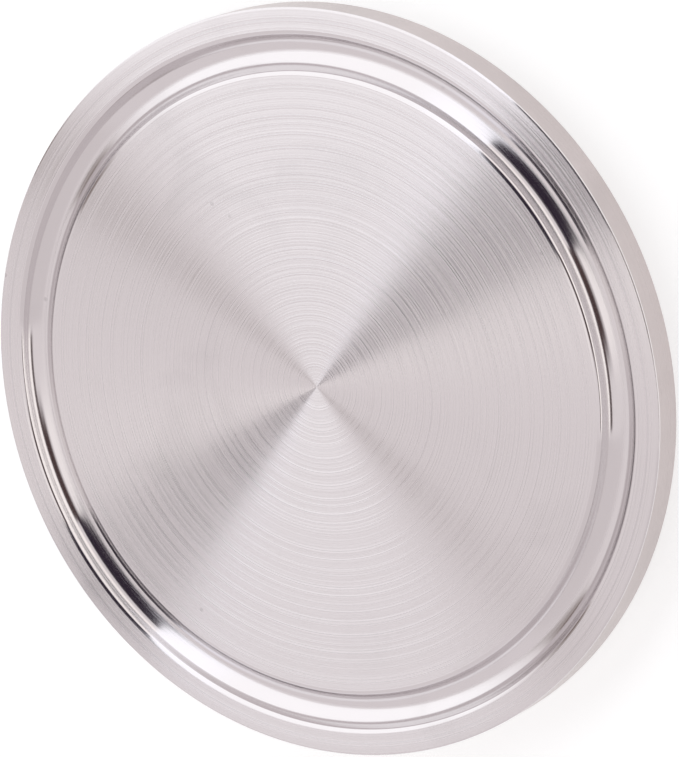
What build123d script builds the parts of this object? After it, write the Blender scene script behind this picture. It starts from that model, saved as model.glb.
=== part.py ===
from build123d import *

# Sanitary clamp end cap: a blind disc that closes the end of a tube ferrule.
#
# One piece, turned from stainless bar. The turning axis is Z, the flat back lies on Z = 0
# and the sealing face with its gasket groove looks up. All lengths are millimetres.

import os
from math import radians, tan

# Driving dimensions
outer_diameter = 64.0  # clamp rim
total_thickness = 6.35  # from the back to the sealing face
rim_thickness = 3.1  # straight wall at the rim, above the clamp taper
taper_angle = 20.0  # slope of the clamp taper, in degrees from the face
groove_inset = 3.8  # from the rim wall to the middle of the gasket groove
groove_width = 3.25  # across the groove at the face, between its sharp corners
groove_wall_angle = 60.0  # slope of the groove's walls, in degrees from the face
groove_bottom_radius = 1.5  # round bottom between the two walls
lip_radius = 0.42  # rounding where the groove meets the face
rim_edge_radius = 0.2  # broken edge between the face and the rim wall
heel_radius = 0.25  # broken edge between the rim wall and the taper
back_edge_radius = 0.5  # rounding between the taper and the back

# Corners of the half section before rounding: x outwards from the axis, y up from the back
face_y = total_thickness
axis_back = (0, 0)
axis_face = (0, face_y)
rim_face = (outer_diameter / 2, face_y)
rim_heel = (rim_face[0], face_y - rim_thickness)
taper_back = (rim_heel[0] - rim_heel[1] / tan(radians(taper_angle)), 0)
groove_x = rim_face[0] - groove_inset
groove_root = (groove_x, face_y - groove_width / 2 * tan(radians(groove_wall_angle)))
outer_lip = (groove_x + groove_width / 2, face_y)
inner_lip = (groove_x - groove_width / 2, face_y)

# The corners that are rounded, each with its radius
roundings = [
    (taper_back, back_edge_radius),
    (rim_heel, heel_radius),
    (rim_face, rim_edge_radius),
    (outer_lip, lip_radius),
    (groove_root, groove_bottom_radius),
    (inner_lip, lip_radius),
]


def round_corner(section, corner, radius):
    """The section with one of its corners rounded."""
    vertex = section.vertices().sort_by_distance((*corner, 0))[0]
    return fillet(vertex, radius)


def end_cap():
    """The finished cap: the half section, its corners rounded, turned about the axis."""
    rounded_corners = [corner for corner, radius in roundings]
    section = make_face(Polyline(axis_back, *rounded_corners, axis_face, close=True))
    for corner, radius in roundings:
        section = round_corner(section, corner, radius)
    return revolve(Plane.XZ * section, Axis.Z)


os.makedirs("parts", exist_ok=True)
export_step(end_cap(), "parts/end_cap.step")
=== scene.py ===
from math import atan2, cos, hypot, pi, radians, sin, tan

import bpy
from mathutils import Matrix, Vector


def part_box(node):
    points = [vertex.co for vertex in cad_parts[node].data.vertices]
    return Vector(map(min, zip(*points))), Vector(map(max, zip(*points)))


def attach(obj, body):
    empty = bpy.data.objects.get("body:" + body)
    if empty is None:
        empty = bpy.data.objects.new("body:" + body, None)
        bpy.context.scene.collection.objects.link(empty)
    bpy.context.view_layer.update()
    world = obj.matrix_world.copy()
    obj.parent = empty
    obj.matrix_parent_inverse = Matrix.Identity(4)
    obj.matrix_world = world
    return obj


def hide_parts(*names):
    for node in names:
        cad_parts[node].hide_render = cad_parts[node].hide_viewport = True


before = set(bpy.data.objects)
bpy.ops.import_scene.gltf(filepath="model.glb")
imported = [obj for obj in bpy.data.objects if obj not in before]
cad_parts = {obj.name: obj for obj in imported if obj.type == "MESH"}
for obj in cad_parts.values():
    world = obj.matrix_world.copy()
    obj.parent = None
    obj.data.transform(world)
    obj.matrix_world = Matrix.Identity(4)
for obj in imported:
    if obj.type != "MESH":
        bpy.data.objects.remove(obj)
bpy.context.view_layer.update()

bl_info = {
    "name": "Sanitary clamp end cap",
    "version": (1, 0, 0),
    "blender": (4, 5, 0),
    "location": "3D View > Sidebar > End Cap",
    "description": "Turns a stainless clamp end cap from its half section and stages it on a white floor",
    "category": "Object",
}

MM = 0.001
NODE = "end_cap"
UV_MAP = "OFBake"
CAP_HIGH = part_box(NODE)[1]
# Places of the three finishes in the cap's list of materials.
FACED, GROOVE, WALL = range(3)


# ---------------------------------------------------------------- sizes and colours


class EndCapSizes(bpy.types.PropertyGroup):
    """Sizes of the turned half section."""

    rim_radius: bpy.props.FloatProperty(
        name="Rim radius", description="From the axis to the rim wall",
        default=CAP_HIGH.x, unit="LENGTH", precision=5,
    )
    thickness: bpy.props.FloatProperty(
        name="Thickness", description="From the back to the sealing face",
        default=CAP_HIGH.z, unit="LENGTH", precision=5,
    )
    rim_thickness: bpy.props.FloatProperty(
        name="Rim thickness", description="Straight wall at the rim, above the clamp taper",
        default=3.1 * MM, unit="LENGTH", precision=5,
    )
    taper: bpy.props.FloatProperty(
        name="Taper", description="Slope of the clamp taper from the face",
        default=radians(20), subtype="ANGLE",
    )
    groove_inset: bpy.props.FloatProperty(
        name="Groove inset", description="From the rim wall to the middle of the gasket groove",
        default=3.8 * MM, unit="LENGTH", precision=5,
    )
    groove_width: bpy.props.FloatProperty(
        name="Groove width", description="Across the gasket groove at the face, between its sharp corners",
        default=3.25 * MM, unit="LENGTH", precision=5,
    )
    groove_wall: bpy.props.FloatProperty(
        name="Groove wall", description="Slope of the groove's walls from the face",
        default=radians(60), subtype="ANGLE",
    )
    groove_bottom_radius: bpy.props.FloatProperty(
        name="Groove bottom radius", description="Round bottom between the groove's walls",
        default=1.5 * MM, unit="LENGTH", precision=5,
    )
    lip_radius: bpy.props.FloatProperty(
        name="Lip radius", description="Rounding where the groove meets the face",
        default=0.42 * MM, unit="LENGTH", precision=5,
    )
    rim_edge_radius: bpy.props.FloatProperty(
        name="Rim edge radius", description="Broken edge between the face and the rim wall",
        default=0.2 * MM, unit="LENGTH", precision=5,
    )
    heel_radius: bpy.props.FloatProperty(
        name="Heel radius", description="Broken edge between the rim wall and the taper",
        default=0.25 * MM, unit="LENGTH", precision=5,
    )
    back_edge_radius: bpy.props.FloatProperty(
        name="Back edge radius", description="Rounding between the taper and the back",
        default=0.5 * MM, unit="LENGTH", precision=5,
    )
    segments: bpy.props.IntProperty(
        name="Segments", description="Steps round the axis when the section is spun",
        default=480, min=48,
    )


class EndCapFinish(bpy.types.PropertyGroup):
    """Colour and finish of the steel."""

    steel: bpy.props.FloatVectorProperty(
        name="Steel", description="Colour of the turned steel",
        default=(0.755, 0.735, 0.742), subtype="COLOR",
    )
    # Painted shade: a darker, warmer tint over the steel that stands in for the dim reflections on the rim
    # wall and the taper.
    wall_painted_shade: bpy.props.FloatVectorProperty(
        name="Wall shade", description="Duller tint of the rim wall and the taper, over the steel",
        default=(0.77, 0.705, 0.69), subtype="COLOR",
    )
    streaks: bpy.props.FloatProperty(
        name="Streaks", description="How much lighter or darker the streaks of the rim wall are",
        default=0.09, subtype="FACTOR",
    )
    line_pitch: bpy.props.FloatProperty(
        name="Line pitch", description="Spacing of the turning lines",
        default=0.28 * MM, unit="LENGTH", precision=5,
    )
    line_depth: bpy.props.FloatProperty(
        name="Line depth", description="Depth of the turning lines",
        default=0.0065 * MM, unit="LENGTH", precision=6,
    )
    face_roughness: bpy.props.FloatVectorProperty(
        name="Face roughness", description="Roughness of the faced surfaces where burnished and where torn",
        default=(0.09, 0.29), size=2, subtype="NONE",
    )
    groove_roughness: bpy.props.FloatVectorProperty(
        name="Groove roughness", description="Roughness of the gasket groove where burnished and where torn",
        default=(0.09, 0.15), size=2, subtype="NONE",
    )
    wall_roughness: bpy.props.FloatVectorProperty(
        name="Wall roughness",
        description="Roughness of the rim wall and the taper where burnished and where torn",
        default=(0.18, 0.32), size=2, subtype="NONE",
    )
    anisotropy: bpy.props.FloatProperty(
        name="Anisotropy", description="How much the turning stretches a highlight outwards",
        default=1.0, subtype="FACTOR",
    )


class EndCapStudio(bpy.types.PropertyGroup):
    """Camera, floor and light."""

    lens: bpy.props.FloatProperty(
        name="Lens", description="Focal length for a 36 mm frame", default=228.9, unit="CAMERA",
    )
    distance: bpy.props.FloatProperty(
        name="Distance", description="From the camera to the point it looks at",
        default=400.5 * MM, unit="LENGTH",
    )
    elevation: bpy.props.FloatProperty(
        name="Elevation", description="Angle of the camera's view above the floor",
        default=radians(56.5), subtype="ANGLE",
    )
    roll: bpy.props.FloatProperty(
        name="Roll", description="Turn of the camera about its own view",
        default=radians(-113.1), subtype="ANGLE",
    )
    aim: bpy.props.FloatVectorProperty(
        name="Aim", description="Point on the sealing face that the camera looks at",
        default=(-0.1 * MM, -2.42 * MM, CAP_HIGH.z), subtype="XYZ", unit="LENGTH",
    )
    floor_size: bpy.props.FloatProperty(
        name="Floor size", description="Side of the floor", default=3.0, unit="LENGTH",
    )
    floor_colour: bpy.props.FloatVectorProperty(
        name="Floor colour", description="Colour of the floor",
        default=(0.60, 0.618, 0.615), subtype="COLOR",
    )
    floor_lift: bpy.props.FloatProperty(
        name="Floor lift", description="Glow that takes the lit floor up to white", default=0.6,
    )
    tent: bpy.props.FloatVectorProperty(
        name="Tent", description="Light of the tent, where 1 is white",
        default=(0.869, 0.808, 0.817), subtype="COLOR", soft_max=2.0,
    )


# ---------------------------------------------------------------- edit-mode helpers


def deselect_everything():
    """Leaves edit mode, with no object selected."""
    if bpy.context.object and bpy.context.object.mode != "OBJECT":
        bpy.ops.object.mode_set(mode="OBJECT")
    bpy.ops.object.select_all(action="DESELECT")


class Pen:
    """Draws a half section in the XZ plane, stroke by stroke, from one vertex at the origin."""

    def __init__(self, name):
        deselect_everything()
        bpy.ops.mesh.primitive_plane_add(size=MM, location=(0, 0, 0))
        self.piece = bpy.context.object
        self.piece.name = name
        self.piece.data.name = name
        bpy.ops.object.mode_set(mode="EDIT")
        bpy.ops.mesh.select_mode(type="VERT")
        bpy.ops.mesh.merge(type="CENTER")
        self.at = Vector((0, 0))

    def line(self, to, steps, guard):
        """A straight stroke in even steps, with a short step of length guard at each end."""
        start, to = self.at.copy(), Vector(to)
        way = (to - start).normalized()
        even = [start.lerp(to, step / steps) for step in range(1, steps)]
        for stop in (start + way * guard, *even, to - way * guard, to):
            move = stop - self.at
            bpy.ops.mesh.extrude_vertices_move(TRANSFORM_OT_translate={"value": (move.x, 0, move.y)})
            self.at = stop

    def arc(self, centre, angle, steps):
        """A round stroke about centre, anticlockwise in the XZ plane where angle is positive."""
        bpy.ops.mesh.spin(steps=steps, angle=angle, center=(centre[0], 0, centre[1]), axis=(0, 1, 0))
        arm = self.at - Vector(centre)
        self.at = Vector(centre) + Matrix.Rotation(angle, 2) @ arm


def corner_arc(before, corner, after, radius):
    """Where a rounded corner starts, its centre and the angle it turns through."""
    before, corner, after = Vector(before), Vector(corner), Vector(after)
    arriving = (corner - before).normalized()
    leaving = (after - corner).normalized()
    turn = atan2(arriving.x * leaving.y - arriving.y * leaving.x, arriving.dot(leaving))
    start = corner - arriving * radius * tan(abs(turn) / 2)
    side = 1 if turn > 0 else -1
    centre = start + Vector((-arriving.y, arriving.x)) * side * radius
    return start, centre, turn


# ---------------------------------------------------------------- the cap


def draw_section(sizes):
    """The half section from the axis at the back, round the rim and back to the axis."""
    face = sizes.thickness
    rim = sizes.rim_radius
    heel = face - sizes.rim_thickness
    groove = rim - sizes.groove_inset
    half = sizes.groove_width / 2
    # Short steps beside the corners keep the flat stretches flat when they are shaded smooth.
    guard = 0.03 * MM
    face_steps = 10
    # Each corner with its radius, the steps of the line that leads to it and the steps round it.
    corners = [
        ((rim - heel / tan(sizes.taper), 0), sizes.back_edge_radius, 8, 6),
        ((rim, heel), sizes.heel_radius, 4, 8),
        ((rim, face), sizes.rim_edge_radius, 2, 10),
        ((groove + half, face), sizes.lip_radius, 2, 10),
        ((groove, face - half * tan(sizes.groove_wall)), sizes.groove_bottom_radius, 2, 24),
        ((groove - half, face), sizes.lip_radius, 2, 10),
    ]
    end = (0, face)
    stops = [(0, 0), *(corner[0] for corner in corners), end]
    pen = Pen("turned_cap")
    for before, after, (corner, radius, line_steps, arc_steps) in zip(stops, stops[2:], corners):
        start, centre, turn = corner_arc(before, corner, after, radius)
        pen.line(start, line_steps, guard)
        pen.arc(centre, turn, arc_steps)
    pen.line(end, face_steps, guard)
    return pen.piece


def spin_section(piece, segments):
    """Spins the half section about Z into a closed, smooth solid with its faces outwards."""
    weld = 0.0005 * MM
    bpy.ops.mesh.select_all(action="SELECT")
    bpy.ops.mesh.spin(steps=segments, angle=2 * pi, center=(0, 0, 0), axis=(0, 0, 1))
    bpy.ops.mesh.select_all(action="SELECT")
    bpy.ops.mesh.remove_doubles(threshold=weld)
    bpy.ops.mesh.normals_make_consistent(inside=False)
    bpy.ops.mesh.faces_shade_smooth()
    bpy.ops.object.mode_set(mode="OBJECT")
    return piece


def unroll(piece):
    """A UV map. U runs once round the axis, and V out over the face, down the rim and in over the back."""
    mesh = piece.data
    uv = mesh.uv_layers.new(name=UV_MAP)
    whole = 2 * CAP_HIGH.x + CAP_HIGH.z
    on_axis = 0.001 * MM
    for face in mesh.polygons:
        middle = atan2(face.center.y, face.center.x)
        for loop in face.loop_indices:
            point = mesh.vertices[mesh.loops[loop].vertex_index].co
            out = hypot(point.x, point.y)
            turn = atan2(point.y, point.x) if out > on_axis else middle
            turn += 2 * pi * round((middle - turn) / (2 * pi))
            on_face = face.center.z > CAP_HIGH.z / 2
            along = out + CAP_HIGH.z - point.z if on_face else whole - out - point.z
            uv.data[loop].uv = (turn / (2 * pi) + 0.5, along / whole)


def assign_finishes(piece, sizes, finishes):
    """Gives the groove's slopes, and the rim wall with the taper, their own finish.

    All that lies level keeps the faced finish, a narrow strip along the groove's bottom with it.
    """
    groove = sizes.rim_radius - sizes.groove_inset
    reach = sizes.groove_width / 2 + sizes.lip_radius
    heel = sizes.thickness - sizes.rim_thickness
    level, steep = 0.999, 0.3
    for finish in finishes:
        piece.data.materials.append(finish)
    for face in piece.data.polygons:
        rise = face.normal.z
        out = hypot(face.center.x, face.center.y)
        if abs(out - groove) < reach and face.center.z > heel and rise < level:
            face.material_index = GROOVE
        elif -level < rise < steep:
            face.material_index = WALL
        else:
            face.material_index = FACED


# ---------------------------------------------------------------- node helpers


def add_node(tree, kind, inputs=None, **settings):
    """A node with its settings, and with each named or numbered input set or linked."""
    node = tree.nodes.new(kind)
    for name, value in settings.items():
        setattr(node, name, value)
    for key, value in (inputs or {}).items():
        if isinstance(value, bpy.types.NodeSocket):
            tree.links.new(value, node.inputs[key])
        else:
            node.inputs[key].default_value = value
    return node


def calc(tree, operation, *values):
    """The output of a Math node."""
    return add_node(tree, "ShaderNodeMath", dict(enumerate(values)), operation=operation).outputs[0]


def smooth_step(tree, value, low, high):
    """0 below low and 1 above high, with a smooth way between; low may be above high."""
    inputs = {"Value": value, "From Min": low, "From Max": high}
    return add_node(tree, "ShaderNodeMapRange", inputs, interpolation_type="SMOOTHSTEP").outputs["Result"]


def new_group(name, inputs, outputs):
    """An empty shader group with float or vector sockets, its input node and its output node."""
    tree = bpy.data.node_groups.new(name, "ShaderNodeTree")
    for label, kind, default in inputs:
        socket = tree.interface.new_socket(label, in_out="INPUT", socket_type=kind)
        if default is not None:
            socket.default_value = default
    for label in outputs:
        tree.interface.new_socket(label, in_out="OUTPUT", socket_type="NodeSocketFloat")
    return tree, tree.nodes.new("NodeGroupInput").outputs, tree.nodes.new("NodeGroupOutput").inputs


def use_group(tree, group, inputs):
    """Places a group in a tree and returns its outputs."""
    return add_node(tree, "ShaderNodeGroup", inputs, node_tree=group).outputs


# ---------------------------------------------------------------- steel


def turning_lines_group():
    """Tool lines along one coordinate: a height for bump, which climbs slowly and falls off on a short
    flank, and where the tool tore instead of burnishing (0 to 1, mostly on the flanks)."""
    tree, given, result = new_group(
        "Turning lines",
        [
            ("Across", "NodeSocketFloat", 0.0),
            ("Pitch", "NodeSocketFloat", 0.0005),
            ("Seed", "NodeSocketFloat", 0.0),
        ],
        ["Height", "Torn"],
    )
    turns = calc(tree, "ADD", calc(tree, "DIVIDE", given["Across"], given["Pitch"]), given["Seed"])

    def noise(scale, detail):
        inputs = {"W": turns, "Scale": scale, "Detail": detail, "Roughness": 0.6}
        return add_node(tree, "ShaderNodeTexNoise", inputs, noise_dimensions="1D").outputs["Fac"]

    # The lines aren't quite evenly spaced, and each has one ridge.
    wander = calc(tree, "MULTIPLY_ADD", noise(0.6, 1.0), 1.2, turns)
    step = calc(tree, "FRACT", wander)
    climb = calc(tree, "MULTIPLY", step, 1.38)
    fall = calc(tree, "MULTIPLY", calc(tree, "SUBTRACT", 1.0, step), 3.6)
    ridge = calc(tree, "MINIMUM", climb, fall)
    # Lines are shallower in some patches than in others.
    patches = calc(tree, "MULTIPLY_ADD", smooth_step(tree, noise(0.45, 2.0), 0.38, 0.66), 0.6, 0.4)
    height = calc(tree, "MULTIPLY", ridge, patches)
    # The tool tears where a ridge falls off, and in fine lines between.
    flank = calc(tree, "MULTIPLY", smooth_step(tree, step, 0.66, 0.80), patches)
    fine = calc(tree, "MULTIPLY_ADD", noise(9.0, 2.0), 2.2, -0.78)
    torn = calc(tree, "MULTIPLY_ADD", flank, 0.8, fine)
    tree.links.new(height, result["Height"])
    tree.links.new(add_node(tree, "ShaderNodeClamp", {0: torn}).outputs[0], result["Torn"])
    return tree


def handling_marks_group():
    """Faint wiped smudges and small specks."""
    tree, given, result = new_group(
        "Handling marks",
        [("Place", "NodeSocketVector", None), ("Smudge size", "NodeSocketFloat", 0.01)],
        ["Smudge", "Speck"],
    )
    scale = calc(tree, "DIVIDE", 1.0, given["Smudge size"])
    # Smudges are the thick parts of a cloud.
    cloud = add_node(
        tree, "ShaderNodeTexNoise",
        {"Vector": given["Place"], "Scale": scale, "Detail": 3.0, "Roughness": 0.55, "Distortion": 0.6},
    ).outputs["Fac"]
    tree.links.new(smooth_step(tree, cloud, 0.57, 0.76), result["Smudge"])
    # Specks are the middles of a few cells, which the gate picks.
    cells = add_node(
        tree, "ShaderNodeTexVoronoi", {"Vector": given["Place"], "Scale": 420.0, "Randomness": 1.0},
    ).outputs["Distance"]
    gate = add_node(
        tree, "ShaderNodeTexNoise", {"Vector": given["Place"], "Scale": 130.0, "Detail": 0.0},
    ).outputs["Fac"]
    dots = calc(tree, "MULTIPLY", smooth_step(tree, cells, 0.10, 0.05), smooth_step(tree, gate, 0.66, 0.70))
    tree.links.new(dots, result["Speck"])
    return tree


def wall_streaks(tree, place, depth):
    """Lighter and darker streaks down a wall, by up to depth either way."""
    streak = add_node(
        tree, "ShaderNodeTexNoise", {"Vector": place, "Scale": 160.0, "Detail": 4.0, "Roughness": 0.7},
    ).outputs["Fac"]
    return calc(tree, "MULTIPLY_ADD", streak, 2 * depth, -depth)


def steel(name, groups, finish, roughness, across, pitch=1.0, depth=1.0, anisotropy=1.0):
    """Turned stainless steel, as smooth and as torn as roughness says.

    across is RADIUS on faces and HEIGHT on walls, which are rougher, streaked, and tinted darker and warmer
    as painted shade. pitch, depth and anisotropy are shares of the finish's own.
    """
    material = bpy.data.materials.new(name)
    material.use_nodes = True
    tree = material.node_tree
    tree.nodes.clear()
    lines_group, marks_group = groups
    place = add_node(tree, "ShaderNodeTexCoord").outputs["Object"]
    split = add_node(tree, "ShaderNodeSeparateXYZ", {0: place}).outputs
    around = add_node(tree, "ShaderNodeCombineXYZ", {"X": split["X"], "Y": split["Y"]}).outputs[0]

    smudge_size = 11 * MM
    marks = use_group(tree, marks_group, {"Place": place, "Smudge size": smudge_size})
    shade = calc(tree, "MULTIPLY_ADD", marks["Smudge"], -0.05, 1.0)
    shade = calc(tree, "MULTIPLY_ADD", marks["Speck"], -0.14, shade)
    tint = Vector(finish.steel)
    if across == "RADIUS":
        along = add_node(tree, "ShaderNodeVectorMath", {0: around}, operation="LENGTH").outputs["Value"]
    else:
        along = split["Z"]
        # The walls' tint is painted shade, darker and warmer, for the dim reflections on the rim wall and
        # the taper.
        tint = tint * Vector(finish.wall_painted_shade)
        shade = calc(tree, "ADD", shade, wall_streaks(tree, around, finish.streaks))
    colour = add_node(
        tree, "ShaderNodeVectorMath", {0: tuple(tint), "Scale": shade}, operation="SCALE",
    ).outputs[0]

    lines = use_group(tree, lines_group, {"Across": along, "Pitch": finish.line_pitch * pitch, "Seed": 3.7})
    smooth, torn = roughness
    rough = add_node(
        tree, "ShaderNodeMapRange", {"Value": lines["Torn"], "To Min": smooth, "To Max": torn},
    ).outputs["Result"]
    rough = calc(tree, "MULTIPLY_ADD", marks["Smudge"], 0.02, rough)
    bump = add_node(
        tree, "ShaderNodeBump",
        {"Height": lines["Height"], "Strength": 1.0, "Distance": finish.line_depth * depth},
    ).outputs[0]
    tangent = add_node(tree, "ShaderNodeTangent", direction_type="UV_MAP", uv_map=UV_MAP).outputs[0]
    shader = add_node(
        tree, "ShaderNodeBsdfPrincipled",
        {
            "Base Color": colour, "Metallic": 1.0, "Roughness": rough, "Normal": bump,
            "Anisotropic": finish.anisotropy * anisotropy, "Anisotropic Rotation": 0.25, "Tangent": tangent,
        },
    ).outputs[0]
    add_node(tree, "ShaderNodeOutputMaterial", {"Surface": shader})
    return material


class EndCapTurn(bpy.types.Operator):
    """Turns the cap from its half section and gives it its steel"""

    bl_idname = "mesh.end_cap_turn"
    bl_label = "Turn the cap"

    def execute(self, context):
        sizes, finish = context.scene.end_cap_sizes, context.scene.end_cap_finish
        piece = spin_section(draw_section(sizes), sizes.segments)
        unroll(piece)
        groups = turning_lines_group(), handling_marks_group()
        finishes = [
            steel("faced_steel", groups, finish, finish.face_roughness, "RADIUS"),
            steel(
                "groove_steel", groups, finish, finish.groove_roughness, "RADIUS",
                depth=0.2, anisotropy=0.6,
            ),
            steel(
                "wall_steel", groups, finish, finish.wall_roughness, "HEIGHT",
                pitch=0.4, depth=0.5, anisotropy=0.8,
            ),
        ]
        assign_finishes(piece, sizes, finishes)
        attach(piece, "root")
        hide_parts(NODE)
        return {"FINISHED"}


# ---------------------------------------------------------------- studio


def view_direction(studio):
    """Unit vector from the cap to the camera."""
    return Vector((0, -cos(studio.elevation), sin(studio.elevation)))


def add_camera(studio):
    """The camera looks over the front of the cap, rolled about its view."""
    data = bpy.data.cameras.new("camera")
    data.lens = studio.lens
    data.clip_start = 10 * MM
    camera = bpy.data.objects.new("camera", data)
    bpy.context.scene.collection.objects.link(camera)
    turn = Matrix.Rotation(pi / 2 - studio.elevation, 4, "X") @ Matrix.Rotation(studio.roll, 4, "Z")
    place = Vector(studio.aim) + view_direction(studio) * studio.distance
    camera.matrix_world = Matrix.Translation(place) @ turn
    bpy.context.scene.camera = camera


def add_floor(studio):
    """A pale floor, a hair under the cap, that keeps the cap's shadow and is white where it is lit."""
    hair = 0.01 * MM
    deselect_everything()
    bpy.ops.mesh.primitive_plane_add(size=studio.floor_size, location=(0, 0, -hair))
    floor = bpy.context.object
    floor.name = "floor"
    material = bpy.data.materials.new("floor_white")
    material.use_nodes = True
    tree = material.node_tree
    tree.nodes.clear()
    path = add_node(tree, "ShaderNodeLightPath").outputs
    seen = calc(tree, "ADD", path["Is Camera Ray"], path["Is Glossy Ray"])
    seen = calc(tree, "ADD", seen, path["Is Transmission Ray"])
    lift = calc(tree, "MULTIPLY", calc(tree, "MINIMUM", seen, 1.0), studio.floor_lift)
    shader = add_node(
        tree, "ShaderNodeBsdfPrincipled",
        {
            "Base Color": (*studio.floor_colour, 1), "Roughness": 1.0, "Specular IOR Level": 0.0,
            "Emission Color": (1, 1, 1, 1), "Emission Strength": lift,
        },
    ).outputs[0]
    add_node(tree, "ShaderNodeOutputMaterial", {"Surface": shader})
    floor.data.materials.append(material)


# Each panel of the light tent, placed by the slope of the steel that mirrors it to the camera: its
# name, the azimuths of its two sides with their softness, the tilts it starts and ends at with
# their softness (all in degrees, the azimuth of the slope and its tilt from level), and its light,
# where 1 is white. A later panel covers an earlier one.
PANELS = [
    ("key", (298, 0.6), (373, 22), (1.5, 2), (64, 8), (1.28, 1.26, 1.28)),
    ("key_edge", (298, 0.6), (311, 10), (1.5, 2), (64, 8), (1.36, 1.35, 1.42)),
    ("post", (382, 6), (394, 2), (1.5, 2), (58, 8), (0.42, 0.37, 0.36)),
    ("knot", (386, 2), (394, 2), (18, 6), (58, 8), (0.20, 0.15, 0.13)),
    ("fill", (120, 1), (200, 8), (1.5, 2), (70, 8), (0.83, 0.77, 0.785)),
    ("side", (200, 8), (240.5, 1), (6, 8), (70, 8), (0.76, 0.70, 0.71)),
    ("glint", (242, 3), (298, 0.6), (48, 4), (68, 8), (1.25, 1.18, 1.15)),
    ("window", (254, 12), (274.5, 0.6), (2, 3), (26, 5), (1.08, 1.02, 1.01)),
    ("foot_far", (242, 1), (262, 5), (41, 2), (47.5, 2), (0.10, 0.07, 0.07)),
    ("foot_near", (255, 10), (275, 1), (30, 9), (46.5, 3), (0.08, 0.05, 0.05)),
    ("dark_camera", (274.5, 0.6), (298, 0.6), (2.5, 3), (39, 3), (0.03, 0.02, 0.035)),
    ("far_grey", (94.5, 2), (118, 1), (14, 8), (70, 8), (0.58, 0.53, 0.56)),
]


def panel_mask(tree, half, tilt, name, left, right, start, end):
    """1 on a panel of the tent and 0 off it, with soft edges."""
    middle, reach = (left[0] + right[0]) / 2, (right[0] - left[0]) / 2
    turned = add_node(
        tree, "ShaderNodeVectorRotate", {"Vector": half, "Angle": -radians(middle)},
        rotation_type="Z_AXIS", label=name,
    ).outputs[0]
    split = add_node(tree, "ShaderNodeSeparateXYZ", {0: turned}).outputs
    azimuth = calc(tree, "ARCTAN2", split["Y"], split["X"])
    mask = 1.0
    for value, edge, softness, rising in (
        (azimuth, -reach, left[1], 1), (azimuth, reach, right[1], -1),
        (tilt, start[0], start[1], 1), (tilt, end[0], end[1], -1),
    ):
        low, high = edge - rising * softness / 2, edge + rising * softness / 2
        mask = calc(tree, "MULTIPLY", mask, smooth_step(tree, value, radians(low), radians(high)))
    return mask


def add_light_tent(studio):
    """A white dome with a few lighter and darker panels."""
    world = bpy.data.worlds.new("light_tent")
    bpy.context.scene.world = world
    world.use_nodes = True
    tree = world.node_tree
    tree.nodes.clear()
    # A surface mirrors the camera to a ray where its normal lies half way between the two.
    ray = add_node(tree, "ShaderNodeTexCoord").outputs["Generated"]
    toward = tuple(view_direction(studio))
    half = add_node(tree, "ShaderNodeVectorMath", {0: ray, 1: toward}, operation="ADD").outputs[0]
    half = add_node(tree, "ShaderNodeVectorMath", {0: half}, operation="NORMALIZE").outputs[0]
    tilt = calc(tree, "ARCCOSINE", add_node(tree, "ShaderNodeSeparateXYZ", {0: half}).outputs["Z"])
    colour = add_node(tree, "ShaderNodeRGB").outputs[0]
    colour.default_value = (*studio.tent, 1)
    for *panel, shade in PANELS:
        mask = panel_mask(tree, half, tilt, *panel)
        colour = add_node(
            tree, "ShaderNodeMix", {"Factor": mask, "A": colour, "B": (*shade, 1)}, data_type="RGBA",
        ).outputs["Result"]
    background = add_node(tree, "ShaderNodeBackground", {"Color": colour}).outputs[0]
    add_node(tree, "ShaderNodeOutputWorld", {"Surface": background})


class EndCapStage(bpy.types.Operator):
    """Adds the floor, the light tent and the camera"""

    bl_idname = "scene.end_cap_stage"
    bl_label = "Set the stage"

    def execute(self, context):
        studio = context.scene.end_cap_studio
        add_floor(studio)
        add_light_tent(studio)
        add_camera(studio)
        context.scene.view_settings.view_transform = "Standard"
        return {"FINISHED"}


class EndCapPanel(bpy.types.Panel):
    """Lists the steps and their sizes"""

    bl_idname = "VIEW3D_PT_end_cap"
    bl_label = "End Cap"
    bl_space_type = "VIEW_3D"
    bl_region_type = "UI"
    bl_category = "End Cap"

    def draw(self, context):
        for group, operator in (
            ("end_cap_sizes", None),
            ("end_cap_finish", EndCapTurn.bl_idname),
            ("end_cap_studio", EndCapStage.bl_idname),
        ):
            box = self.layout.box()
            settings = getattr(context.scene, group)
            for name in settings.__annotations__:
                box.prop(settings, name)
            if operator:
                box.operator(operator)


CLASSES = (EndCapSizes, EndCapFinish, EndCapStudio, EndCapTurn, EndCapStage, EndCapPanel)


def register():
    """Makes Blender know the classes, and gives each scene its settings."""
    for cls in CLASSES:
        bpy.utils.register_class(cls)
    bpy.types.Scene.end_cap_sizes = bpy.props.PointerProperty(type=EndCapSizes)
    bpy.types.Scene.end_cap_finish = bpy.props.PointerProperty(type=EndCapFinish)
    bpy.types.Scene.end_cap_studio = bpy.props.PointerProperty(type=EndCapStudio)


def unregister():
    """Takes back what register did, in the opposite order."""
    del bpy.types.Scene.end_cap_studio
    del bpy.types.Scene.end_cap_finish
    del bpy.types.Scene.end_cap_sizes
    for cls in reversed(CLASSES):
        bpy.utils.unregister_class(cls)


def main():
    """Makes the cap and its stage."""
    register()
    bpy.ops.mesh.end_cap_turn()
    bpy.ops.scene.end_cap_stage()


if __name__ == "__main__":
    main()
